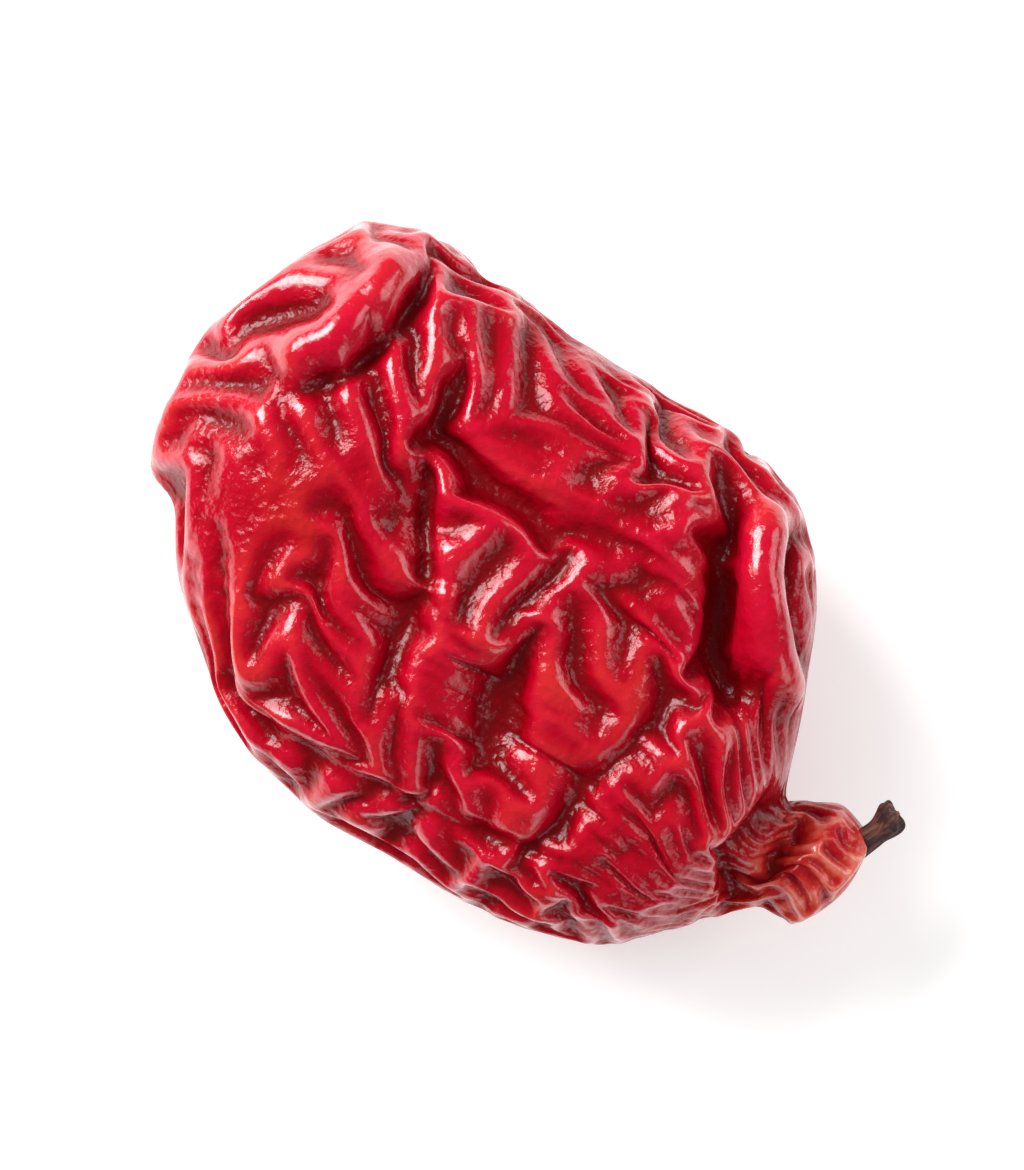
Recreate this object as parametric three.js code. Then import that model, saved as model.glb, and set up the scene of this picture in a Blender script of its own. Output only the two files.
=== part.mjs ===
// A dried barberry: one collapsed, wrinkled berry with a puckered neck, and the woody remnant of its
// stalk at the tip of the neck. Millimetres, +Z up, +X along the fruit towards the stalk.
import * as THREE from 'three';
import { mergeVertices } from 'three/addons/utils/BufferGeometryUtils.js';

// Driving dimensions.
const FRUIT_LENGTH = 8.6;        // blunt end to the tip of the neck
const FRUIT_WIDTH = 5.7;         // across the widest place
const FRUIT_THICKNESS = 3.6;     // from the resting spot to the crown
const CELLS_PER_QUARTER = 24;    // grid cells over each quarter turn of the skin

const STALK_LENGTH = 0.46;
const STALK_RADIUS = 0.19;
const STALK_GAP = 0.03;          // clearance between the stalk and the neck's skin

// Sections across the fruit at even steps from the blunt end to the tip of the neck, as shares of the
// half length, half width and half thickness: place along X, right edge, left edge, belly, crown.
const SECTIONS = [
  [-1.000, 0.090, 0.090, 0.00, 0.00],    // blunt end
  [-0.942, -0.380, 0.540, -0.42, 0.46],
  [-0.780, -0.560, 0.800, -0.68, 0.78],
  [-0.570, -0.800, 0.850, -0.87, 0.95],
  [-0.350, -0.975, 0.880, -0.97, 1.00],
  [-0.116, -1.010, 0.940, -1.00, 1.00],  // widest to the right
  [0.105, -0.960, 0.990, -0.97, 0.97],   // widest to the left
  [0.314, -0.905, 0.940, -0.92, 0.94],
  [0.488, -0.820, 0.740, -0.86, 0.86],
  [0.640, -0.690, 0.390, -0.77, 0.66],
  [0.744, -0.510, 0.160, -0.66, 0.34],   // shoulder
  [0.802, -0.380, 0.180, -0.58, 0.16],   // the neck's waist
  [0.872, -0.240, 0.245, -0.58, 0.21],   // the neck's bulge
  [0.965, -0.180, 0.200, -0.46, 0.12],
  [1.000, 0.005, 0.005, -0.15, -0.15],   // tip
];
const COLUMN = { place: 0, right: 1, left: 2, belly: 3, crown: 4 };
const FLAT_SPOT_SHARE = -0.93;   // the belly is pressed flat below this share of the half thickness

// Folds on the upper skin: points in plan in millimetres, then width and rise; a crease has a negative rise.
const FOLDS = [
  { path: [[-3.4, 1.95], [-3.15, 1.3], [-3.1, 0.9], [-3.35, 0.3]], width: 0.2, rise: 0.24 },
  { path: [[0.95, 2.5], [1.42, 1.88], [2.0, 1.4], [2.6, 1.02]], width: 0.2, rise: 0.22 },
  { path: [[-3.0, 2.1], [-2.75, 1.35], [-2.75, 0.8], [-3.2, 0.05]], width: 0.2, rise: -0.26 },
  { path: [[0.8, 2.1], [1.15, 1.6], [1.7, 1.0], [2.3, 0.75]], width: 0.26, rise: -0.3 },
  { path: [[1.3, 2.45], [1.72, 1.9], [2.3, 1.5], [2.85, 0.95]], width: 0.18, rise: -0.2 },
  { path: [[-1.95, 0.75], [-1.4, 0.05], [-0.8, -0.6]], width: 0.2, rise: -0.18 },
  { path: [[-2.4, -2.0], [-1.2, -2.3], [0.0, -2.15], [1.0, -1.9], [2.2, -1.3]], width: 0.2, rise: -0.16 },
];
const HOLLOW = { length: 2.5, width: 1.6, depth: 0.3 };
const WRINKLE_HEIGHT = 0.085;
const WRINKLE_SPACING = 0.95;

const SKIN_COLOUR = 0x9e1226;
const STALK_COLOUR = 0x2a1410;

const halfLength = FRUIT_LENGTH / 2;
const halfWidth = FRUIT_WIDTH / 2;
const halfThickness = FRUIT_THICKNESS / 2;

// A section's column at any step, by a curve that passes through every section. Past each end the
// curve runs on over the pole, so a left edge goes on as the right one and the end is round.
function sectionValue(name, opposite, step) {
  const last = SECTIONS.length - 1;
  const at = (i) => {
    if (i < 0) return SECTIONS[-i][COLUMN[opposite]];
    if (i > last) return SECTIONS[2 * last - i][COLUMN[opposite]];
    return SECTIONS[i][COLUMN[name]];
  };
  const i = Math.min(Math.floor(step), last - 1);
  const t = step - i;
  const [a, b, c, d] = [at(i - 1), at(i), at(i + 1), at(i + 2)];
  return b + 0.5 * t * (c - a + t * (2 * a - 5 * b + 4 * c - d + t * (3 * (b - c) + d - a)));
}

// The smooth skin's point in the direction of a unit vector.
function smoothSkin(direction) {
  const fromBluntEnd = Math.acos(THREE.MathUtils.clamp(-direction.x, -1, 1));
  const step = (fromBluntEnd / Math.PI) * (SECTIONS.length - 1);
  const round = Math.atan2(direction.z, direction.y);
  const left = halfWidth * sectionValue('left', 'right', step);
  const right = halfWidth * sectionValue('right', 'left', step);
  const crown = halfThickness * sectionValue('crown', 'belly', step);
  const belly = halfThickness * sectionValue('belly', 'crown', step);
  return new THREE.Vector3(
    halfLength * sectionValue('place', 'place', step),
    (left + right) / 2 + ((left - right) / 2) * Math.cos(round),
    (crown + belly) / 2 + ((crown - belly) / 2) * Math.sin(round),
  );
}

// Distance in plan from a point to a path.
function distanceToPath(point, path) {
  let nearest = Infinity;
  for (let i = 1; i < path.length; i += 1) {
    const start = new THREE.Vector2(...path[i - 1]);
    const along = new THREE.Vector2(...path[i]).sub(start);
    const to = new THREE.Vector2(point.x, point.y).sub(start);
    const share = THREE.MathUtils.clamp(to.dot(along) / along.lengthSq(), 0, 1);
    nearest = Math.min(nearest, to.sub(along.multiplyScalar(share)).length());
  }
  return nearest;
}

const bell = (t) => Math.exp(-t * t);

// How far the skin stands out of the smooth shape: the hollow crown, its folds and lengthwise wrinkles.
function skinRise(point, normal) {
  const upper = THREE.MathUtils.smoothstep(normal.z, -0.1, 0.5);
  const body = 1 - THREE.MathUtils.smoothstep(point.x, 0.6 * halfLength, 0.8 * halfLength);
  const fromMiddle = (point.x / HOLLOW.length) ** 4 + (point.y / HOLLOW.width) ** 4;
  let rise = -upper * HOLLOW.depth * Math.exp(-fromMiddle);
  for (const fold of FOLDS) {
    rise += upper * fold.rise * bell(distanceToPath(point, fold.path) / fold.width);
  }
  const turn = (2 * Math.PI) / WRINKLE_SPACING;
  const sway = 0.5 * Math.sin(0.9 * point.x + 1.3) + 0.3 * Math.sin(2.1 * point.x - 0.7 * point.z);
  const across = Math.sin(turn * (point.y + sway)) + Math.sin(turn * (point.z + 0.8 * sway) + 1.1);
  const along = Math.sin(0.45 * turn * point.x + 1.7 * Math.sin(1.4 * point.y + point.z));
  return rise + body * WRINKLE_HEIGHT * (across * 0.7 + along * 0.6);
}

// A closed grid over the whole fruit: a divided cube, blown up evenly into a ball.
function ballGrid() {
  const cube = new THREE.BoxGeometry(2, 2, 2, CELLS_PER_QUARTER, CELLS_PER_QUARTER, CELLS_PER_QUARTER);
  cube.deleteAttribute('normal');
  cube.deleteAttribute('uv');
  cube.clearGroups();
  const ball = mergeVertices(cube, 1e-4);
  const place = ball.getAttribute('position');
  const direction = new THREE.Vector3();
  for (let i = 0; i < place.count; i += 1) {
    direction.fromBufferAttribute(place, i);
    direction.set(...direction.toArray().map((c) => Math.tan((c * Math.PI) / 4))).normalize();
    place.setXYZ(i, ...direction.toArray());
  }
  return ball;
}

function driedFruit() {
  const geometry = ballGrid();
  const place = geometry.getAttribute('position');
  const point = new THREE.Vector3();
  for (let i = 0; i < place.count; i += 1) {
    place.setXYZ(i, ...smoothSkin(point.fromBufferAttribute(place, i)).toArray());
  }
  geometry.computeVertexNormals();
  const normals = geometry.getAttribute('normal');
  const normal = new THREE.Vector3();
  const floor = FLAT_SPOT_SHARE * halfThickness;
  for (let i = 0; i < place.count; i += 1) {
    point.fromBufferAttribute(place, i);
    normal.fromBufferAttribute(normals, i);
    point.addScaledVector(normal, skinRise(point, normal));
    place.setXYZ(i, point.x, point.y, Math.max(point.z, floor));
  }
  geometry.deleteAttribute('normal');
  const skin = new THREE.MeshStandardMaterial({ color: SKIN_COLOUR, roughness: 0.35, metalness: 0 });
  const mesh = new THREE.Mesh(geometry, skin);
  mesh.name = 'dried_fruit';
  return mesh;
}

function stalkStub() {
  const profile = [
    new THREE.Vector2(0, 0),
    new THREE.Vector2(0.8 * STALK_RADIUS, 0),
    new THREE.Vector2(0.7 * STALK_RADIUS, 0.5 * STALK_LENGTH),
    new THREE.Vector2(STALK_RADIUS, 0.85 * STALK_LENGTH),
    new THREE.Vector2(0.8 * STALK_RADIUS, STALK_LENGTH),
    new THREE.Vector2(0, STALK_LENGTH),
  ];
  const bark = new THREE.MeshStandardMaterial({ color: STALK_COLOUR, roughness: 0.8, metalness: 0 });
  const mesh = new THREE.Mesh(new THREE.LatheGeometry(profile, 12), bark);
  mesh.name = 'stalk_stub';
  const direction = new THREE.Vector3(0.45, 0.8, 0.25).normalize();
  mesh.quaternion.setFromUnitVectors(new THREE.Vector3(0, 1, 0), direction);
  mesh.position.set(3.95, 0.46 + STALK_GAP, -0.1);
  return mesh;
}

const barberry = new THREE.Group();
barberry.name = 'dried_barberry';
barberry.add(driedFruit(), stalkStub());

// The origin is under the middle of the fruit, on the surface that it rests on.
const box = new THREE.Box3().setFromObject(barberry, true);
const middle = box.getCenter(new THREE.Vector3());
barberry.position.set(-middle.x, -middle.y, -box.min.z);

export default barberry;
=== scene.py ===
# %% [markdown]
# # A dried barberry
#
# A barberry loses most of its juice as it dries. Its skin doesn't shrink with it, so the berry sinks in
# between its edges and the loose skin buckles into folds, wrinkles and fine puckers. This lesson makes
# that skin the way it comes about: a smooth berry is given too much skin, and the skin is let go until
# it finds its own wrinkles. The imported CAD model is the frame, and gives size and place.

import bmesh
import bpy
import numpy as np
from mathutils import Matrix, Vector


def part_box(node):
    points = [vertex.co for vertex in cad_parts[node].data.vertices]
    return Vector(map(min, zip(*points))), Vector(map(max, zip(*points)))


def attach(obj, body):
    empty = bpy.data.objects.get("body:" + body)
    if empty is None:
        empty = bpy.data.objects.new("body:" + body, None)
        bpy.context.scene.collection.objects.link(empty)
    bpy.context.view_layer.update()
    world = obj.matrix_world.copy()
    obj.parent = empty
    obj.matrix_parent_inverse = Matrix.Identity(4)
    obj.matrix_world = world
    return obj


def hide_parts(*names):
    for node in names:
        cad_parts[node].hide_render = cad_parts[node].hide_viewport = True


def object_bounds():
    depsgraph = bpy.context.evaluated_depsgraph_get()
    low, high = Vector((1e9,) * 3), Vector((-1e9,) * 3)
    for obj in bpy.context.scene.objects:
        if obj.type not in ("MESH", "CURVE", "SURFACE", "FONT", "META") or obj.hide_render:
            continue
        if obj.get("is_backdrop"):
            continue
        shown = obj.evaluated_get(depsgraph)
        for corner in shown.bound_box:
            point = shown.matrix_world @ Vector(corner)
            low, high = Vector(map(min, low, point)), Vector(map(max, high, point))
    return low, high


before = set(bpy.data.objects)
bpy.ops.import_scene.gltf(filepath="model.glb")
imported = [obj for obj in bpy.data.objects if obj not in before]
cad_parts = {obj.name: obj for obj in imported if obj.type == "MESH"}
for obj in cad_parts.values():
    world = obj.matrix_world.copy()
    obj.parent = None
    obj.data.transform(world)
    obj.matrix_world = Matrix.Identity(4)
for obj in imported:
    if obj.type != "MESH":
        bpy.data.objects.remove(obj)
cad_low, cad_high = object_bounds()
fruit_low, fruit_high = (np.array(corner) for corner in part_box("dried_fruit"))
stub_low, stub_high = (np.array(corner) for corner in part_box("stalk_stub"))
MM = 0.001
print("fruit in mm:", np.round((fruit_high - fruit_low) / MM, 2))

# %% [markdown]
# ## A grid with no bad corners
#
# A globe's grid crowds its lines together at the poles, and skin would wrinkle differently there. A
# cube's six square grids, blown up into a ball, keep all cells nearly the same size. The points are
# found on a cube of whole numbers, so that neighbouring faces share the points of their common edge.


# %% Grid over a ball
def ball_grid(cells):
    """Points of a cube's surface as whole numbers from 0 to cells, the four corners of each cell, and a
    block of numbers that gives a point's place in the list, or -1 inside the cube."""
    line = np.arange(cells + 1)
    block = np.stack(np.meshgrid(line, line, line, indexing="ij"), -1)
    on_surface = ((block == 0) | (block == cells)).any(-1)
    number = np.full(on_surface.shape, -1)
    number[on_surface] = np.arange(on_surface.sum())
    u, v = (part.ravel() for part in np.meshgrid(line[:-1], line[:-1], indexing="ij"))
    quads = []
    for axis in range(3):
        for side in (0, cells):
            corners = []
            for du, dv in ((0, 0), (1, 0), (1, 1), (0, 1)):
                place = [None, None, None]
                place[axis] = np.full_like(u, side)
                place[(axis + 1) % 3] = u + du
                place[(axis + 2) % 3] = v + dv
                corners.append(number[tuple(place)])
            quads.append(np.stack(corners if side else corners[::-1], 1))
    return block[on_surface], np.concatenate(quads), number


def directions(points, cells):
    """Unit vectors of grid points: each coordinate, from -1 to 1, becomes the tangent of as many eighths
    of a turn, which evens out the cells, and the vector is then brought to length 1."""
    cube = np.tan((points / cells * 2 - 1) * np.pi / 4)
    return cube / np.linalg.norm(cube, axis=1, keepdims=True)


points, quads, number = ball_grid(8)
print("a ball of 8 cells a side has", len(points), "points and", len(quads), "cells")

# %% [markdown]
# ## The smooth berry
#
# Before its wrinkles, the berry is a plump pillow with a short neck where the stalk was. It is drawn as
# a ship's hull is, by sections from end to end: where the section is, how far it reaches to the right
# and left, and how low and high. A curve through the sections gives every place between them. Past each
# end the curve is carried on over the pole, so that the end comes out round and not pointed.

# %% The smooth berry
HALF_SIZE = np.array([4.3, 2.85, 1.8])  # half length, half width and half thickness in mm
SECTIONS = np.array([
    # place, right, left, belly, crown, as shares of the half sizes
    [-1.000, 0.090, 0.090, 0.00, 0.00],
    [-0.942, -0.380, 0.540, -0.42, 0.46],
    [-0.780, -0.560, 0.800, -0.68, 0.78],
    [-0.570, -0.800, 0.850, -0.87, 0.95],
    [-0.350, -0.975, 0.880, -0.97, 1.00],
    [-0.116, -1.010, 0.940, -1.00, 1.00],
    [0.105, -0.960, 0.990, -0.97, 0.97],
    [0.314, -0.905, 0.940, -0.92, 0.94],
    [0.488, -0.820, 0.740, -0.86, 0.86],
    [0.640, -0.690, 0.390, -0.77, 0.66],
    [0.744, -0.510, 0.160, -0.66, 0.34],
    [0.802, -0.380, 0.180, -0.58, 0.16],
    [0.872, -0.240, 0.245, -0.58, 0.21],
    [0.965, -0.180, 0.200, -0.46, 0.12],
    [1.000, 0.005, 0.005, -0.15, -0.15],
])
PLACE, RIGHT, LEFT, BELLY, CROWN = range(5)


def section_line(column, opposite, step):
    """A column of the sections at any step between them, by a Catmull-Rom curve: a cubic that passes
    through each value with the slope between its two neighbours."""
    line = np.concatenate([SECTIONS[1:2, opposite], SECTIONS[:, column], SECTIONS[-2:-1, opposite]])
    i = np.minimum(step.astype(int), len(SECTIONS) - 2)
    t = step - i
    a, b, c, d = line[i], line[i + 1], line[i + 2], line[i + 3]
    return b + 0.5 * t * (c - a + t * (2 * a - 5 * b + 4 * c - d + t * (3 * (b - c) + d - a)))


def smooth_berry(direction):
    """The smooth skin's points. The angle from the blunt end picks the section, and the angle round the
    long axis picks the place on the section's ellipse between its four edges."""
    step = np.arccos(np.clip(-direction[:, 0], -1, 1)) / np.pi * (len(SECTIONS) - 1)
    turn = np.arctan2(direction[:, 2], direction[:, 1])
    right = section_line(RIGHT, LEFT, step)
    left = section_line(LEFT, RIGHT, step)
    belly = section_line(BELLY, CROWN, step)
    crown = section_line(CROWN, BELLY, step)
    y = (left + right) / 2 + (left - right) / 2 * np.cos(turn)
    z = (crown + belly) / 2 + (crown - belly) / 2 * np.sin(turn)
    return np.stack([section_line(PLACE, PLACE, step), y, z], 1) * HALF_SIZE


print("smooth berry, highest corner in mm:", np.round(smooth_berry(directions(points, 8)).max(0), 2))

# %% [markdown]
# ## The main folds
#
# A few folds give this berry its character, so they are laid one by one and don't come from the wrinkling.
# The crown sinks between its edges. One broad valley lies along the side towards the neck, and one where
# the neck begins. Sharp glossy ridges stand beside the first valley and by the blunt end, each with a
# crease. More creases run inside the rounded rim, across the middle, with a short ridge at its end, and
# along the right-hand edge. Each fold is a path seen from above, and the skin beside it rises or sinks as
# a bell curve of the distance. Broad folds come before the wrinkles, and sharp ones go on when the grid
# is fine enough to hold them.

# %% The main folds
BROAD_FOLDS = [
    # path in mm, width and rise in mm; a valley has a negative rise
    ([(0.8, 2.1), (1.15, 1.6), (1.7, 1.0), (2.3, 0.75)], 0.30, -0.22),
    ([(3.1, 0.45), (3.08, -0.35), (3.45, -0.8)], 0.15, -0.14),
]
SHARP_FOLDS = [
    ([(-3.36, 2.0), (-3.2, 1.35), (-3.24, 0.8), (-3.5, 0.25)], 0.24, 0.22),
    ([(-3.0, 2.0), (-2.84, 1.35), (-2.88, 0.7), (-3.25, 0.08)], 0.09, -0.12),
    ([(0.98, 2.52), (1.43, 1.87), (2.0, 1.38), (2.62, 1.03)], 0.20, 0.24),
    ([(1.1, 1.75), (1.6, 1.0), (2.15, 0.7)], 0.12, -0.14),
    ([(1.35, 2.42), (1.8, 1.88), (2.4, 1.42)], 0.08, -0.14),
    ([(-1.8, 0.6), (-1.38, 0.06), (-0.95, -0.42)], 0.09, -0.14),
    ([(-0.82, -0.2), (-0.6, -0.5)], 0.11, 0.14),
    ([(-1.9, -2.35), (-1.2, -2.5), (-0.3, -2.28), (0.73, -2.0), (1.9, -1.5)], 0.10, -0.08),
]
HOLLOW_SIZE = (2.5, 1.6)  # reach of the sunken crown along and across the berry, in mm
HOLLOW_DEPTH = 0.3


def bell(distance, width):
    """The bell curve: one over e to the square of distance over width."""
    return np.exp(-(distance / width) ** 2)


def ease(value, low, high):
    """0 below low, 1 above high, and a smooth S between them: three t squared less two t cubed."""
    t = np.clip((value - low) / (high - low), 0, 1)
    return t * t * (3 - 2 * t)


def distance_to_path(skin, path):
    """Distance seen from above to a line through points, and how far along it, from 0 to 1, that is."""
    path = np.array(path)
    parts = np.linalg.norm(np.diff(path, axis=0), axis=1)
    nearest, share, start = np.full(len(skin), np.inf), np.zeros(len(skin)), 0.0
    for first, last, part in zip(path[:-1], path[1:], parts):
        t = np.clip((skin[:, :2] - first) @ (last - first) / part**2, 0, 1)
        away = np.linalg.norm(skin[:, :2] - first - t[:, None] * (last - first), axis=1)
        share = np.where(away < nearest, start + t * part, share)
        nearest = np.minimum(away, nearest)
        start += part
    return nearest, share / parts.sum()


def lay_folds(skin, outward, folds):
    """Moves the upper skin up or down along its normals at each fold, which fades out over a fifth of its
    length at both ends."""
    rise = np.zeros(len(skin))
    for path, width, height in folds:
        away, share = distance_to_path(skin, path)
        fade = np.minimum(1, 5 * np.minimum(share + 0.04, 1.04 - share))
        rise += height * bell(away, width) * fade
    return skin + outward * (rise * ease(outward[:, 2], 0.0, 0.5))[:, None]


def sink_crown(skin, outward):
    """Lowers the crown: the depth over e to the fourth powers of the shares of its reach."""
    along, across = skin[:, 0] / HOLLOW_SIZE[0], skin[:, 1] / HOLLOW_SIZE[1]
    fall = HOLLOW_DEPTH * np.exp(-(along**4) - across**4) * ease(outward[:, 2], 0.0, 0.5)
    return skin - outward * fall[:, None]


print(len(BROAD_FOLDS), "broad folds and", len(SHARP_FOLDS), "sharp ones laid by hand")

# %% [markdown]
# ## Skin that wrinkles by itself
#
# Noise makes a bumpy ball, but not skin: real wrinkles run on, fork and end because the skin can hardly
# stretch. So each point of the grid is tied to its neighbours by springs that are a little too long for
# the berry below. The flesh holds each point near its place, and resists being lifted more than being
# sunk, and the skin resists being bent. Stiffness against bending and hold of the flesh together set the
# width of the wrinkles. The loose skin then buckles where it likes, as the real one does.

# %% Neighbours, normals and springs
def neighbours(points, cells, number):
    """The four neighbours of each grid point. A corner of the cube has three, and its own place is the
    fourth."""
    found = []
    for axis in range(3):
        for way in (-1, 1):
            moved = points.copy()
            moved[:, axis] += way
            inside = (moved[:, axis] >= 0) & (moved[:, axis] <= cells)
            moved = np.clip(moved, 0, cells)
            found.append(np.where(inside, number[tuple(moved.T)], -1))
    found = np.stack(found, 1)
    order = np.argsort(found < 0, axis=1, kind="stable")
    found = np.take_along_axis(found, order, 1)[:, :4]
    return np.where(found < 0, np.arange(len(points))[:, None], found)


def springs(quads):
    """The pairs of points joined by springs, and each spring's strength: 1 along a cell's sides and half
    across its corners, which makes the skin as stiff in every direction."""
    sides = np.concatenate([quads[:, [0, 1]], quads[:, [1, 2]], quads[:, [2, 3]], quads[:, [3, 0]]])
    sides = np.unique(np.sort(sides, axis=1), axis=0)
    crossed = np.concatenate([quads[:, [0, 2]], quads[:, [1, 3]]])
    strength = np.concatenate([np.ones(len(sides)), np.full(len(crossed), 0.5)])
    return np.concatenate([sides, crossed]), strength


def normals(skin, quads):
    """Each point's outward direction: the sum of its cells' normals, each the cross product of the
    cell's diagonals, brought to length 1."""
    a, b, c, d = (skin[quads[:, k]] for k in range(4))
    face = np.cross(c - a, d - b)
    total = np.zeros_like(skin)
    for k in range(4):
        for axis in range(3):
            total[:, axis] += np.bincount(quads[:, k], face[:, axis], len(skin))
    return total / np.maximum(np.linalg.norm(total, axis=1, keepdims=True), 1e-12)


def relax(skin, near, times):
    """Moves each point half way to the middle of its neighbours, as many times as said."""
    for _ in range(times):
        skin = skin + 0.5 * (skin[near].mean(1) - skin)
    return skin


def swell(skin, size, chance):
    """A smooth random field from about -1 to 1: twelve waves of one length in random directions, added."""
    way = chance.standard_normal((12, 3))
    way /= np.linalg.norm(way, axis=1, keepdims=True)
    start = chance.uniform(0, 2 * np.pi, 12)
    return np.sin(skin @ way.T * (2 * np.pi / size) + start).sum(1) / 12**0.5


# %% [markdown]
# The sum of the pulls moves each point a short step at a time, and a drag takes its speed away. Skin grows
# over the first half of the steps and settles over the second. It grows more round the berry than along
# it, so that most wrinkles run lengthwise, and on the crown they turn to a slant. It also grows more in
# some patches than in others, and hardly at all on two calm spots near the blunt end.

# %% Let the skin go
PULL_STEP = 0.35  # length of one step in time, short enough for the stiffest spring
DRAG = 0.9  # share of its speed that a point keeps at each step
SIDE_HOLD = 0.002  # the flesh's hold on skin that slides sideways
SHAKE = 0.02  # share of a cell that each point is moved by before the start, so that wrinkles can begin
SOFT_SPOTS, SOFT_SIZE = 0.8, 2.3  # change of the flesh's hold, as a power of e, and its patches in mm
RIM_TIGHT, TIGHT_WIDTH = 2.0, 0.35  # how much harder skin lifts off round the rim, and its width as a slope
WANDER, WANDER_SIZE = 0.5, 2.5  # radians that wrinkles wander from lengthwise, and over how many mm
LEAN, LEAN_SIZE = 0.5, 3.1  # how steeply that line climbs and falls, and over how many mm
CROWN_SLANT = 0.85  # radians that the crown's wrinkles turn away from lengthwise
SLANT_PLACE, SLANT_REACH = 0.3, 2.6  # how far before the middle they turn most, and their reach, in mm
PATCHES, PATCH_SIZE = 0.6, 1.8  # how unevenly the skin grows, and the size of its patches in mm
RIM_LOSS, RIM_WIDTH = 0.65, 0.34  # growth lost round the rim, and the rim's width as a slope
BLUNT_GAIN, BLUNT_REACH = 0.4, 1.1  # growth gained at the blunt end, and how far it reaches in mm
NECK_LOSS, NECK_PLACE, NECK_REACH = 0.3, 2.6, 0.6  # growth lost before the neck, and where, in mm
CALM_SPOTS = [
    # place along and across the berry and reach along and across it, in mm, and share of the growth lost
    (-2.8, -1.0, 1.0, 0.8, 0.7),
    (-3.8, -1.3, 0.6, 0.6, 0.8),
]
FOLD_LOSS = 0.6  # share of the growth lost beside a sharp fold


def looseness(skin, outward, chance):
    """How much more the skin grows here than it does on average: it grows in patches, more at the blunt
    end, and less round the rim, before the neck, on the calm spots and beside the sharp folds."""
    free = 1 + PATCHES * swell(skin, PATCH_SIZE, chance) - RIM_LOSS * bell(outward[:, 2], RIM_WIDTH)
    free += BLUNT_GAIN * bell(skin[:, 0] + HALF_SIZE[0], BLUNT_REACH)
    free -= NECK_LOSS * bell(skin[:, 0] - NECK_PLACE, NECK_REACH)
    for x, y, reach_along, reach_across, loss in CALM_SPOTS:
        free *= 1 - loss * bell(skin[:, 0] - x, reach_along) * bell(skin[:, 1] - y, reach_across)
    upper = ease(outward[:, 2], 0.2, 0.7)
    for path, width, _ in SHARP_FOLDS:
        free *= 1 - FOLD_LOSS * bell(distance_to_path(skin, path)[0], 2 * width) * upper
    return np.clip(free, 0.1, 2)


def wrinkle(core, grid, growth, lengthwise, cells_a_wave, onset, lift, steps, chance):
    """Grows the skin by a share of its length and lets it buckle off the core below it.

    Bending and the flesh's hold are worked out from how many cells a wrinkle takes and from the onset,
    the growth at which it starts. lift is how many times harder the flesh is to leave than to sink into,
    and more so round the rim, where the skin is tight.
    """
    first, last = grid["pairs"].T
    outward = normals(relax(core, grid["near"], 4), grid["quads"])
    apart = core[last] - core[first]
    rest = np.linalg.norm(apart, axis=1)
    spacing = rest.mean()
    twist = WANDER * swell(core, WANDER_SIZE, chance)
    twist -= CROWN_SLANT * ease(outward[:, 2], 0.1, 0.7) * bell(core[:, 0] + SLANT_PLACE, SLANT_REACH)
    lengthway = np.stack([np.cos(twist), np.sin(twist), LEAN * swell(core, LEAN_SIZE, chance)], 1)
    lengthway -= outward * (lengthway * outward).sum(1)[:, None]
    lengthway /= np.maximum(np.linalg.norm(lengthway, axis=1, keepdims=True), 1e-6)
    along = ((apart / rest[:, None]) * lengthway[first]).sum(1) ** 2
    extra = growth * (lengthwise * along + 1 - along) * looseness(core, outward, chance)[first]
    wave = (1 - np.cos(2 * np.pi / cells_a_wave)) / 2
    bending = 2 * onset / wave
    hold = 2 * onset * wave * np.exp(SOFT_SPOTS * swell(core, SOFT_SIZE, chance))
    leave = lift * (1 + RIM_TIGHT * bell(outward[:, 2], TIGHT_WIDTH))
    flat = core[grid["near"]].mean(1) - core
    skin = core + outward * (SHAKE * spacing * chance.standard_normal(len(core)))[:, None]
    speed = np.zeros_like(skin)
    for step in range(steps):
        grown = min(1.0, 2 * step / steps)
        apart = skin[last] - skin[first]
        length = np.maximum(np.sqrt((apart * apart).sum(1)), 1e-9)
        pull = apart * (grid["strength"] * (1 - rest * (1 + grown * extra) / length))[:, None]
        force = np.stack(
            [np.bincount(first, p, len(skin)) - np.bincount(last, p, len(skin)) for p in pull.T], 1
        )
        bend = skin[grid["near"]].mean(1) - skin - flat
        force -= bending * (bend[grid["near"]].mean(1) - bend)
        off = skin - core
        height = (off * outward).sum(1)
        force -= outward * (hold * height * np.where(height > 0, leave, 1))[:, None]
        force -= SIDE_HOLD * (off - outward * height[:, None])
        speed = DRAG * (speed + PULL_STEP * force)
        skin = skin + PULL_STEP * speed
    return skin


# %% [markdown]
# Wrinkles come in sizes, the small ones on the sides of the large ones. The skin is let go three times,
# on a coarse grid, on one twice as fine and on one twice as fine again, each time with a little more
# growth and starting from the last shape.

# %% Three sizes of wrinkle
WRINKLES = [
    # cells a side, growth, share of it lengthwise, cells a wave, onset, lift, steps
    (32, 0.06, 0.4, 9, 0.012, 8.0, 220),
    (64, 0.14, 0.45, 9, 0.012, 6.0, 220),
    (128, 0.07, 0.6, 8, 0.015, 3.0, 120),
]


def make_grid(cells):
    """Everything about one grid that the wrinkling uses."""
    points, quads, number = ball_grid(cells)
    pairs, strength = springs(quads)
    near = neighbours(points, cells, number)
    return dict(cells=cells, points=points, quads=quads, number=number, near=near, pairs=pairs,
                strength=strength)


def carry_over(skin, coarse, fine):
    """The skin on a grid twice as fine: a new point is the mean of the old ones around it, which are
    found by halving its whole numbers and rounding each one down and up."""
    total = 0
    for corner in range(8):
        up = np.array([corner & 1, corner >> 1 & 1, corner >> 2 & 1])
        total = total + skin[coarse["number"][tuple(((fine["points"] + up) // 2).T)]]
    return relax(total / 8, fine["near"], 2)


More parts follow.
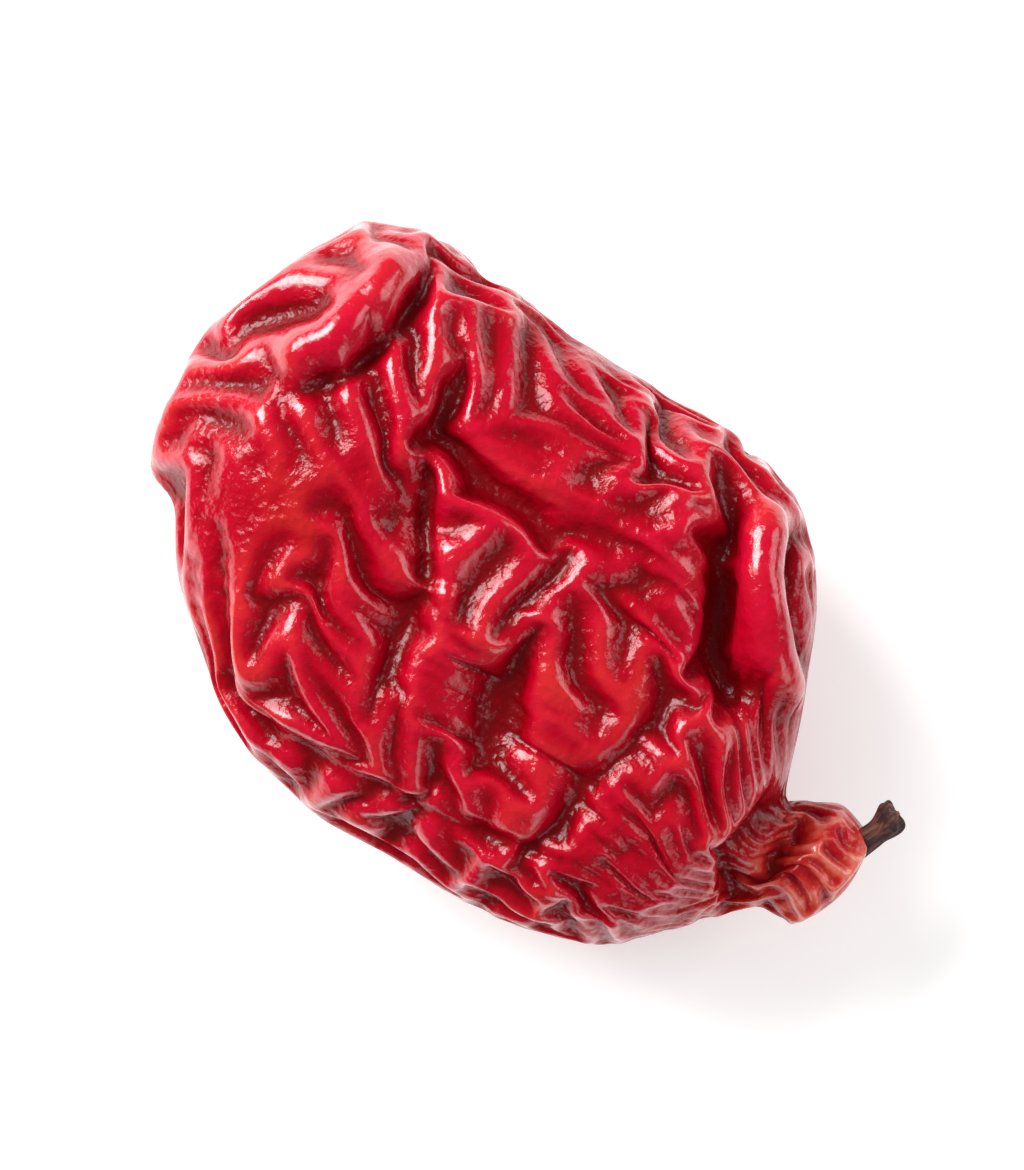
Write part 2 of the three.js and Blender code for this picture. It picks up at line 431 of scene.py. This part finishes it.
chance = np.random.default_rng(42)
skin, grid = None, None
for cells, growth, lengthwise, cells_a_wave, onset, lift, steps in WRINKLES:
    finer = make_grid(cells)
    if grid is None:
        core = smooth_berry(directions(finer["points"], cells))
        core = sink_crown(core, normals(core, finer["quads"]))
        core = lay_folds(core, normals(core, finer["quads"]), BROAD_FOLDS)
    else:
        core = carry_over(skin, grid, finer)
    if cells == WRINKLES[-1][0]:
        core = lay_folds(core, normals(relax(core, finer["near"], 10), finer["quads"]), SHARP_FOLDS)
    skin = wrinkle(core, finer, growth, lengthwise, cells_a_wave, onset, lift, steps, chance)
    grid = finer
    print(cells, "cells a side: skin moved up to", round(float(np.abs(skin - core).max()), 3), "mm")

# %% [markdown]
# ## Round ridges, and a belly to rest on
#
# Flesh still fills the ridges of a dried berry, so they are round, while the creases between them are
# pinched sharp. Moving only the points that stand proud of their neighbours does both at once. The berry
# has dried lying down, so its belly is pressed flat where it met the tray. Then it goes where the CAD
# model's berry is.

# %% Round, press flat and place
RIDGE_PASSES = 5
FLAT_SHARE = 0.93  # the belly is pressed flat this share of the half thickness below the middle


def round_ridges(skin, grid, passes):
    """Moves each point that stands out from the middle of its neighbours half way back to it, and leaves
    the points that lie in creases."""
    for _ in range(passes):
        back = skin[grid["near"]].mean(1) - skin
        proud = (back * normals(skin, grid["quads"])).sum(1) < 0
        skin = skin + 0.5 * back * proud[:, None]
    return skin


def place_in_frame(skin):
    """Presses the belly flat, and moves the skin so that its footprint has the CAD fruit's middle and
    its flat spot lies on the surface under it. Millimetres become metres."""
    skin = skin.copy()
    skin[:, 2] = np.maximum(skin[:, 2], -FLAT_SHARE * HALF_SIZE[2]) + FLAT_SHARE * HALF_SIZE[2]
    skin[:, :2] -= (skin[:, :2].max(0) + skin[:, :2].min(0)) / 2
    middle = (fruit_low + fruit_high) / 2
    return skin * MM + np.array([middle[0], middle[1], fruit_low[2]])


skin = round_ridges(skin, grid, RIDGE_PASSES)
placed = place_in_frame(skin)
print("wrinkled berry in mm:", np.round((placed.max(0) - placed.min(0)) / MM, 2))

# %% [markdown]
# ## Marks for the finish
#
# The finish has to know ridges from creases: the colour is painted darker in a crease, as painted shade,
# and brighter over a ridge, as painted light shining through thin skin, and the sugar film shines most on
# the ridges. A point's height above a smoothed copy of the skin tells them apart. It is taken twice,
# against a little and a lot of smoothing, for the fine wrinkles and for the folds that carry them. A third
# mark grows towards the neck, where the skin is thick and pale and carries painted highlights. Each becomes
# an attribute.

# %% Mark ridges and creases
FINE_PASSES, FOLD_PASSES = (12, 120) if grid["cells"] > 64 else (4, 40)


def height_over_smooth(skin, grid, passes):
    """Height above the relaxed skin along the normal, from -1 to 1 for twice its usual size."""
    smooth = relax(skin, grid["near"], passes)
    height = ((skin - smooth) * normals(smooth, grid["quads"])).sum(1)
    return np.clip(height / (2 * height.std()), -1, 1)


marks = {
    "fine": height_over_smooth(skin, grid, FINE_PASSES),
    "fold": height_over_smooth(skin, grid, FOLD_PASSES),
    "neck": ease(skin[:, 0] / HALF_SIZE[0], 0.66, 0.86),
}
for name, values in marks.items():
    print(name, "from", round(float(values.min()), 2), "to", round(float(values.max()), 2))

# %% [markdown]
# ## From numbers to a mesh
#
# So far the berry is a list of places and a list of cells. Blender's mesh takes both. Each piece is also
# parented to the frame's body that it moves with, and the CAD solid that it replaces is hidden.


# %% Make the berry's mesh
def make_piece(name, body, node, places, faces, marks=None):
    """A smooth-shaded mesh object at the origin, its places in its vertices and its marks as attributes. It
    rides on a body of the frame, and the CAD node that it replaces is hidden."""
    mesh = bpy.data.meshes.new(name)
    mesh.from_pydata(places.tolist(), [], faces.tolist())
    mesh.polygons.foreach_set("use_smooth", np.ones(len(faces), bool))
    for mark, values in (marks or {}).items():
        mesh.attributes.new(mark, "FLOAT", "POINT").data.foreach_set("value", values.astype(np.float32))
    piece = bpy.data.objects.new(name, mesh)
    bpy.context.scene.collection.objects.link(piece)
    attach(piece, body)
    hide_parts(node)
    return piece


berry = make_piece("wrinkled_berry", "root", "dried_fruit", placed, grid["quads"], marks)
print("berry:", len(berry.data.vertices), "points,", 2 * len(berry.data.polygons), "triangles")

# %% [markdown]
# ## The stalk's stub
#
# The stalk breaks off short when the berry is picked, and dries to a dark woody stub. It is a tube swept
# along a line out of the neck: its radius swells at the foot, narrows, and flares at the broken end, with
# grooves along it, and the end is torn unevenly. Its rings shrink to a point at both ends. Each of those
# two rings is then merged into one point, so that the piece is closed.

# %% The stalk's stub
STUB_RINGS, STUB_SIDES = 64, 72
FOOT_PLACE, TIP_PLACE = [0.35, 0.0, 0.4], [0.6, 1.0, 0.6]  # as shares of the CAD stub's box
STUB_SINK = 0.18  # mm that the foot lies behind the CAD stub's foot, and so inside the neck
STUB_BEND = 0.08  # mm that its middle stands beside a straight line
STUB_RADIUS, STUB_FOOT, STUB_FLARE = 0.12, 0.06, 0.05  # mm, and what the foot and the broken end add
STUB_TEAR = 0.05  # share of its length that the broken end is uneven by


def grow_stub(foot, tip, rings, sides):
    """With s from 0 at the foot to 1 at the broken end and a turn round the tube, in millimetres: the
    middle line runs straight from foot to tip, plus a sideways bend of s times 1 - s. The radius is a
    profile in s, swollen at the foot and flared at the end, times eight grooves round it, times the
    closing: the root of 1 less the 16th power of the way from the middle, which rounds both ends."""
    axis = (tip - foot) / np.linalg.norm(tip - foot)
    side = np.cross(axis, [0.0, 0.0, 1.0])
    side /= np.linalg.norm(side)
    up = np.cross(side, axis)
    s, turn = np.meshgrid(np.linspace(0, 1, rings), np.arange(sides) / sides * 2 * np.pi, indexing="ij")
    closing = np.sqrt(1 - (2 * s - 1) ** 16)
    profile = STUB_RADIUS + STUB_FOOT * bell(s, 0.3) + STUB_FLARE * ease(s, 0.6, 0.9)
    grooves = 1 + 0.07 * np.sin(8 * turn + 2 * s) + 0.06 * np.sin(3 * turn - 4 * s)
    torn = STUB_TEAR * np.sin(5 * turn + 1) * ease(s, 0.75, 1.0) * closing
    middle = foot + (tip - foot) * (s + torn)[..., None] + side * (4 * STUB_BEND * s * (1 - s))[..., None]
    around = np.cos(turn)[..., None] * side + np.sin(turn)[..., None] * up
    return middle + around * (profile * grooves * closing)[..., None]


def tube_faces(rings, sides):
    """The four corners of each cell of a grid of rings that closes on itself round the tube."""
    i, j = (part.ravel() for part in np.meshgrid(np.arange(rings - 1), np.arange(sides), indexing="ij"))
    after = (j + 1) % sides
    return np.stack([i * sides + j, i * sides + after, (i + 1) * sides + after, (i + 1) * sides + j], 1)


def merge_and_turn_out(piece):
    """Merges points that lie on each other, and turns all faces outwards."""
    shell = bmesh.new()
    shell.from_mesh(piece.data)
    bmesh.ops.remove_doubles(shell, verts=shell.verts, dist=1e-8)
    bmesh.ops.recalc_face_normals(shell, faces=shell.faces)
    shell.to_mesh(piece.data)
    shell.free()


stub_size = stub_high - stub_low
foot = (stub_low + stub_size * FOOT_PLACE) / MM
tip = (stub_low + stub_size * TIP_PLACE) / MM
foot = foot - STUB_SINK * (tip - foot) / np.linalg.norm(tip - foot)
stub_places = grow_stub(foot, tip, STUB_RINGS, STUB_SIDES).reshape(-1, 3) * MM
stub_faces = tube_faces(STUB_RINGS, STUB_SIDES)
stub = make_piece("broken_stalk", "root", "stalk_stub", stub_places, stub_faces)
merge_and_turn_out(stub)
print("stub:", len(stub.data.vertices), "points, from", np.round(foot, 2), "to", np.round(tip, 2))

# %% [markdown]
# ## Writing a finish as arithmetic
#
# A material is a sum worked out at each spot of a surface. Drawn as nodes it is hard to read, so a small
# class lets it be written as arithmetic: adding or multiplying two values adds the Math node that does
# it. Every other node comes from one method, and colours are mixed in Mix nodes.


# %% Values and nodes
MIX_FACTOR, MIX_FIRST, MIX_SECOND, MIX_RESULT = 0, 6, 7, 2  # a Mix node's sockets for colours


class Value:
    """One output of a material's node, on which arithmetic adds Math nodes."""

    def __init__(self, tree, socket=None):
        self.tree = tree
        self.socket = socket

    def feed(self, node, inputs):
        """Gives each named or numbered socket of a node its value, or a link to one."""
        for name, value in inputs.items():
            if isinstance(value, Value):
                self.tree.links.new(value.socket, node.inputs[name])
            else:
                node.inputs[name].default_value = value

    def node(self, kind, settings=None, inputs=None, output=0):
        """Adds a node, gives it its settings and then its inputs, and returns one of its outputs."""
        made = self.tree.nodes.new("ShaderNode" + kind)
        for name, setting in (settings or {}).items():
            setattr(made, name, setting)
        self.feed(made, inputs or {})
        return Value(self.tree, made.outputs[output])

    def math(self, operation, first, second):
        """A Math node on two values or numbers."""
        return self.node("Math", {"operation": operation}, {0: first, 1: second})

    def __add__(self, other):
        return self.math("ADD", self, other)

    def __sub__(self, other):
        return self.math("SUBTRACT", self, other)

    def __rsub__(self, other):
        return self.math("SUBTRACT", other, self)

    def __mul__(self, other):
        return self.math("MULTIPLY", self, other)

    __radd__ = __add__
    __rmul__ = __mul__

    def step(self, low, high):
        """0 below low, 1 above high, and a smooth S between them."""
        settings = {"interpolation_type": "SMOOTHSTEP"}
        return self.node("MapRange", settings, {"Value": self, "From Min": low, "From Max": high})

    def mix(self, first, second):
        """The first colour where this value is 0, and the second where it is 1."""
        inputs = {MIX_FACTOR: self, MIX_FIRST: first, MIX_SECOND: second}
        return self.node("Mix", {"data_type": "RGBA"}, inputs, MIX_RESULT)


def new_finish(name):
    """A material, the Principled shader in it, and a value of its tree to build on."""
    material = bpy.data.materials.new(name)
    material.use_nodes = True
    return material, material.node_tree.nodes["Principled BSDF"], Value(material.node_tree)


def noise(place, size, detail=2.0, rough=0.5):
    """Cloudy noise from about 0.2 to 0.8, whose spots are size millimetres wide."""
    inputs = {"Vector": place, "Scale": 1 / (size * MM), "Detail": detail, "Roughness": rough}
    return place.node("TexNoise", None, inputs, "Fac")


print("a Mix node's colours are at sockets", MIX_FIRST, "and", MIX_SECOND)

# %% [markdown]
# ## The skin's finish
#
# Where the skin is stretched thin over a ridge, light gets through it and it glows ruby red, and that glow
# is painted light in the colour. A crease is painted nearly black wine, which is painted shade. The neck
# and a few worn spots have bleached to orange, and pale spots on the neck are painted highlights. All of
# that could be painted by hand, but the marks already say where the ridges and creases are, so the colour
# is worked out from them, broken up by noise in two sizes. A dried film of sugar shines unevenly over it,
# and finer noise and pores of a tenth of a millimetre roughen the shine.

# %% Paint the skin
WINE = (0.180, 0.0002, 0.003, 1.0)  # in the creases: painted shade
RUBY = (0.340, 0.0002, 0.009, 1.0)  # on the sides of the folds
BRIGHT = (0.480, 0.002, 0.022, 1.0)  # on the ridges: painted light, the glow of thin skin
ORANGE = (0.560, 0.038, 0.016, 1.0)  # where the skin has bleached, and on the neck
PALE = (0.700, 0.240, 0.180, 1.0)  # painted highlights on spots of the neck
BLOTCH, MOTTLE, GRAIN, PORE = 1.3, 0.3, 0.06, 0.11  # sizes of the skin's patterns in mm
MOTTLE_SHADE_LIGHT_WEAR, BLOTCH_SHADE = 1.2, 0.8  # how much mottle changes the mark of painted shade, painted light and wear, and blotches the edge of the shade
WINE_TO_RUBY, RUBY_TO_BRIGHT = (-0.8, 0.1), (0.0, 1.0)  # values of that mark where painted shade turns to ruby and ruby to painted light
TO_BLEACHED, TO_ORANGE, TO_PALE = (0.62, 0.95), (0.3, 0.75), (0.55, 0.9)  # where blotches and mottle, with the ridges, turn the colour bleached, orange and to painted highlights
BLEACHED_SHARE, ORANGE_SHARE, PALE_SHARE = 0.4, 0.8, 0.7  # how much of the red each of these covers
SUGAR_FILM = (0.0, 0.9)  # values of that mark where the dried sugar starts, and where it covers all
PORE_DEPTH = 0.018  # mm
PORE_RISE, GRAIN_RISE, MOTTLE_RISE = 0.7, 0.6, 1.2  # how many times that depth each pattern rises
ROUGH, MOTTLE_SHINE, RIDGE_SHINE = 0.28, 0.16, 0.06  # roughness, and what mottle and ridges take off it


def paint_skin(name):
    """Wine in the creases as painted shade, ruby on the sides and bright red on the ridges as painted
    light, by the fine and fold marks and noise, then orange where the neck mark or the blotches say so, and
    pale spots on the neck as painted highlights."""
    material, shader, start = new_finish(name)
    place = start.node("TexCoord", output="Object")
    fine, fold, neck = (
        start.node("Attribute", {"attribute_name": mark}, output="Fac") for mark in ("fine", "fold", "neck")
    )
    blotch = noise(place, BLOTCH)
    mottle = noise(place, MOTTLE, 3.0)
    grain = noise(place, GRAIN, 2.0)
    ridge = 0.5 * fine + 0.5 * fold
    shade_light_and_wear = ridge + MOTTLE_SHADE_LIGHT_WEAR * (mottle - 0.5)
    # painted shade: the creases turn dark wine; painted light: the ridges turn bright red
    colour = (shade_light_and_wear + BLOTCH_SHADE * (blotch - 0.5)).step(*WINE_TO_RUBY).mix(WINE, RUBY)
    colour = shade_light_and_wear.step(*RUBY_TO_BRIGHT).mix(colour, BRIGHT)
    bleached = (blotch + 0.3 * ridge).step(*TO_BLEACHED) * BLEACHED_SHARE
    orange = neck * (mottle + 0.2 * ridge).step(*TO_ORANGE) * ORANGE_SHARE
    # painted highlights: pale spots on the neck
    pale = neck * (mottle + 0.3 * ridge).step(*TO_PALE) * PALE_SHARE
    colour = pale.mix((bleached + orange).mix(colour, ORANGE), PALE)
    pores = place.node("TexVoronoi", None, {"Vector": place, "Scale": 1 / (PORE * MM)}, "Distance")
    height = PORE_RISE * pores + GRAIN_RISE * grain + MOTTLE_RISE * mottle
    bump = {"Strength": 1.0, "Distance": PORE_DEPTH * MM, "Height": height}
    start.feed(shader, {
        "Base Color": colour,
        "Roughness": ROUGH - MOTTLE_SHINE * mottle - RIDGE_SHINE * fine,
        "Specular IOR Level": 0.3,
        "Coat Weight": shade_light_and_wear.step(*SUGAR_FILM),
        "Coat Roughness": 0.14,
        "Coat IOR": 1.45,
        "Subsurface Weight": 0.2,
        "Subsurface Radius": (1.0, 0.2, 0.12),
        "Subsurface Scale": 0.35 * MM,
        "Normal": start.node("Bump", None, bump, "Normal"),
    })
    return material


berry.data.materials.append(paint_skin("barberry_skin"))
print("skin:", len(berry.data.materials[0].node_tree.nodes), "nodes")

# %% [markdown]
# ## The stub's finish
#
# Dead stalk bark is matte, brown-black and fibrous. The fibres run along the stub, so the same cloudy
# noise is squeezed across that line: a Mapping node turns the pattern to the stub and scales it.

# %% Paint the stub
BARK = (0.030, 0.009, 0.008, 1.0)  # between the fibres
FIBRE = (0.190, 0.060, 0.035, 1.0)
FIBRE_WIDTH, FIBRE_STRETCH = 0.05, 7.0  # width in mm, and how many times longer than wide
SPOT, FIBRE_DEPTH = 0.15, 0.02  # size of the bark's spots, and depth between its fibres, in mm


def paint_bark(name, axis):
    """Dark bark with paler fibres along the axis, raised a little by bump."""
    material, shader, start = new_finish(name)
    turn = Vector(axis).to_track_quat("Z", "Y").inverted().to_euler()
    placed = {"Vector": start.node("TexCoord", output="Object"), "Rotation": turn}
    along = start.node("Mapping", None, placed, "Vector")
    squeezed = along.node("Mapping", None, {"Vector": along, "Scale": (1, 1, 1 / FIBRE_STRETCH)}, "Vector")
    fibres = noise(squeezed, FIBRE_WIDTH, 4.0, 0.6)
    spots = noise(along, SPOT, 2.0)
    bump = {"Strength": 1.0, "Distance": FIBRE_DEPTH * MM, "Height": fibres}
    start.feed(shader, {
        "Base Color": (fibres + 0.5 * (spots - 0.5)).step(0.42, 0.75).mix(BARK, FIBRE),
        "Roughness": 0.85 - 0.25 * fibres,
        "Normal": start.node("Bump", None, bump, "Normal"),
    })
    return material


stub.data.materials.append(paint_bark("stalk_bark", tip - foot))
print("bark:", len(stub.data.materials[0].node_tree.nodes), "nodes")

# %% [markdown]
# ## The table
#
# The berry lies on a plain white table that glows a little, as a light table does, so its shadow is
# faint.

# %% Floor
TABLE_SIZE = 0.6  # m
TABLE_WHITE = 0.9  # share of the light that it gives back
TABLE_GLOW = 0.28  # light of its own
half = TABLE_SIZE / 2
table_corners = [(-half, -half, 0), (half, -half, 0), (half, half, 0), (-half, half, 0)]
table_mesh = bpy.data.meshes.new("table_top")
table_mesh.from_pydata(table_corners, [], [(0, 1, 2, 3)])
table = bpy.data.objects.new("table_top", table_mesh)
bpy.context.scene.collection.objects.link(table)
table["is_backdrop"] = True
table_paint, table_shader, start = new_finish("white_table")
start.feed(table_shader, {
    "Base Color": (TABLE_WHITE, TABLE_WHITE, TABLE_WHITE, 1.0),
    "Roughness": 0.7,
    "Specular IOR Level": 0.2,
    "Emission Color": (1.0, 1.0, 1.0, 1.0),
    "Emission Strength": TABLE_GLOW,
})
table_mesh.materials.append(table_paint)
print("table:", TABLE_SIZE, "m wide")

# %% [markdown]
# ## The light
#
# The places of the lights are given as the camera sees them. A soft box stands to the upper left and a
# small one to the left, which draws a thin line of light along the ridges. Two weak ones stand to the
# right and the lower right, and the room is dark in reflections, as if black cards stood round the
# table. A crown that faces the camera then shows its own deep red, and only ridges that slope towards
# a box shine.

# %% Light
VIEW_TURN = np.radians(41)  # the camera's turn about the line it looks along
view_right = np.array([np.cos(VIEW_TURN), np.sin(VIEW_TURN), 0.0])
view_up = np.array([-np.sin(VIEW_TURN), np.cos(VIEW_TURN), 0.0])
SOFT_BOXES = [
    # name, metres to the view's right, up and above the table, size in metres, watts
    ("key_box", -0.044, 0.042, 0.045, 0.042, 0.080),
    ("side_box", -0.058, 0.020, 0.042, 0.016, 0.007),
    ("fill_box", 0.060, 0.020, 0.040, 0.040, 0.015),
    ("low_box", 0.040, -0.050, 0.035, 0.035, 0.008),
]
middle = Vector((cad_low[0] + cad_high[0], cad_low[1] + cad_high[1], cad_low[2] + cad_high[2])) / 2


def soft_box(name, right, up, above, size, watts):
    """A square area light that faces the berry and is itself kept out of the picture."""
    light = bpy.data.lights.new(name, "AREA")
    light.size = size
    light.energy = watts
    lamp = bpy.data.objects.new(name, light)
    lamp.visible_camera = False
    lamp.location = Vector(view_right * right + view_up * up + np.array([0.0, 0.0, above]))
    lamp.rotation_euler = (middle - lamp.location).to_track_quat("-Z", "Y").to_euler()
    bpy.context.scene.collection.objects.link(lamp)


for box in SOFT_BOXES:
    soft_box(*box)
ROOM_LIGHT = 0.5  # brightness of the room all round, as it lights the table
ROOM_SEEN = 0.92  # its brightness as the camera sees it behind the table
ROOM_MIRRORED = 0.03  # its brightness in reflections, which black cards keep off the skin
world = bpy.data.worlds.new("pale_room")
world.use_nodes = True
bpy.context.scene.world = world
room = Value(world.node_tree)
seen = room.node("LightPath", output="Is Camera Ray")
mirrored = room.node("LightPath", output="Is Glossy Ray")
brightness = ROOM_LIGHT + (ROOM_SEEN - ROOM_LIGHT) * seen + (ROOM_MIRRORED - ROOM_LIGHT) * mirrored
room.feed(world.node_tree.nodes["Background"], {"Color": (1.0, 1.0, 1.0, 1.0), "Strength": brightness})
print(len(SOFT_BOXES), "soft boxes,", sum(box[-1] for box in SOFT_BOXES), "W together")

# %% [markdown]
# ## The camera
#
# The camera looks straight down, as one looks at berries spread out to be sorted, and is turned so that
# the neck points to the lower right. It hangs over the middle of what it sees of the berry.

# %% Camera
LENS = 85.0  # mm
VIEW_HEIGHT = 0.030  # m above the table
across, upward = placed @ view_right, placed @ view_up
aim = view_right * (across.max() + across.min()) / 2 + view_up * (upward.max() + upward.min()) / 2
camera_data = bpy.data.cameras.new("camera")
camera_data.lens = LENS
camera_data.clip_start = 0.001
camera = bpy.data.objects.new("camera", camera_data)
camera.location = (aim[0], aim[1], VIEW_HEIGHT)
camera.rotation_euler = (0.0, 0.0, VIEW_TURN)
bpy.context.scene.collection.objects.link(camera)
bpy.context.scene.camera = camera
bpy.context.scene.view_settings.view_transform = "Standard"
print("camera", VIEW_HEIGHT / MM, "mm above the table")

# %% [markdown]
# ## Sizes, and the end
#
# The CAD model's box and the box of all shown pieces are both printed, in millimetres.

# %% Sizes and finish
visual_low, visual_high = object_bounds()
boxes = {
    "cad": [[float(value) for value in corner] for corner in (cad_low, cad_high)],
    "visual": [[float(value) for value in corner] for corner in (visual_low, visual_high)],
}
for kind, (low, high) in boxes.items():
    print(kind, "size in mm:", [round((b - a) / MM, 2) for a, b in zip(low, high)])
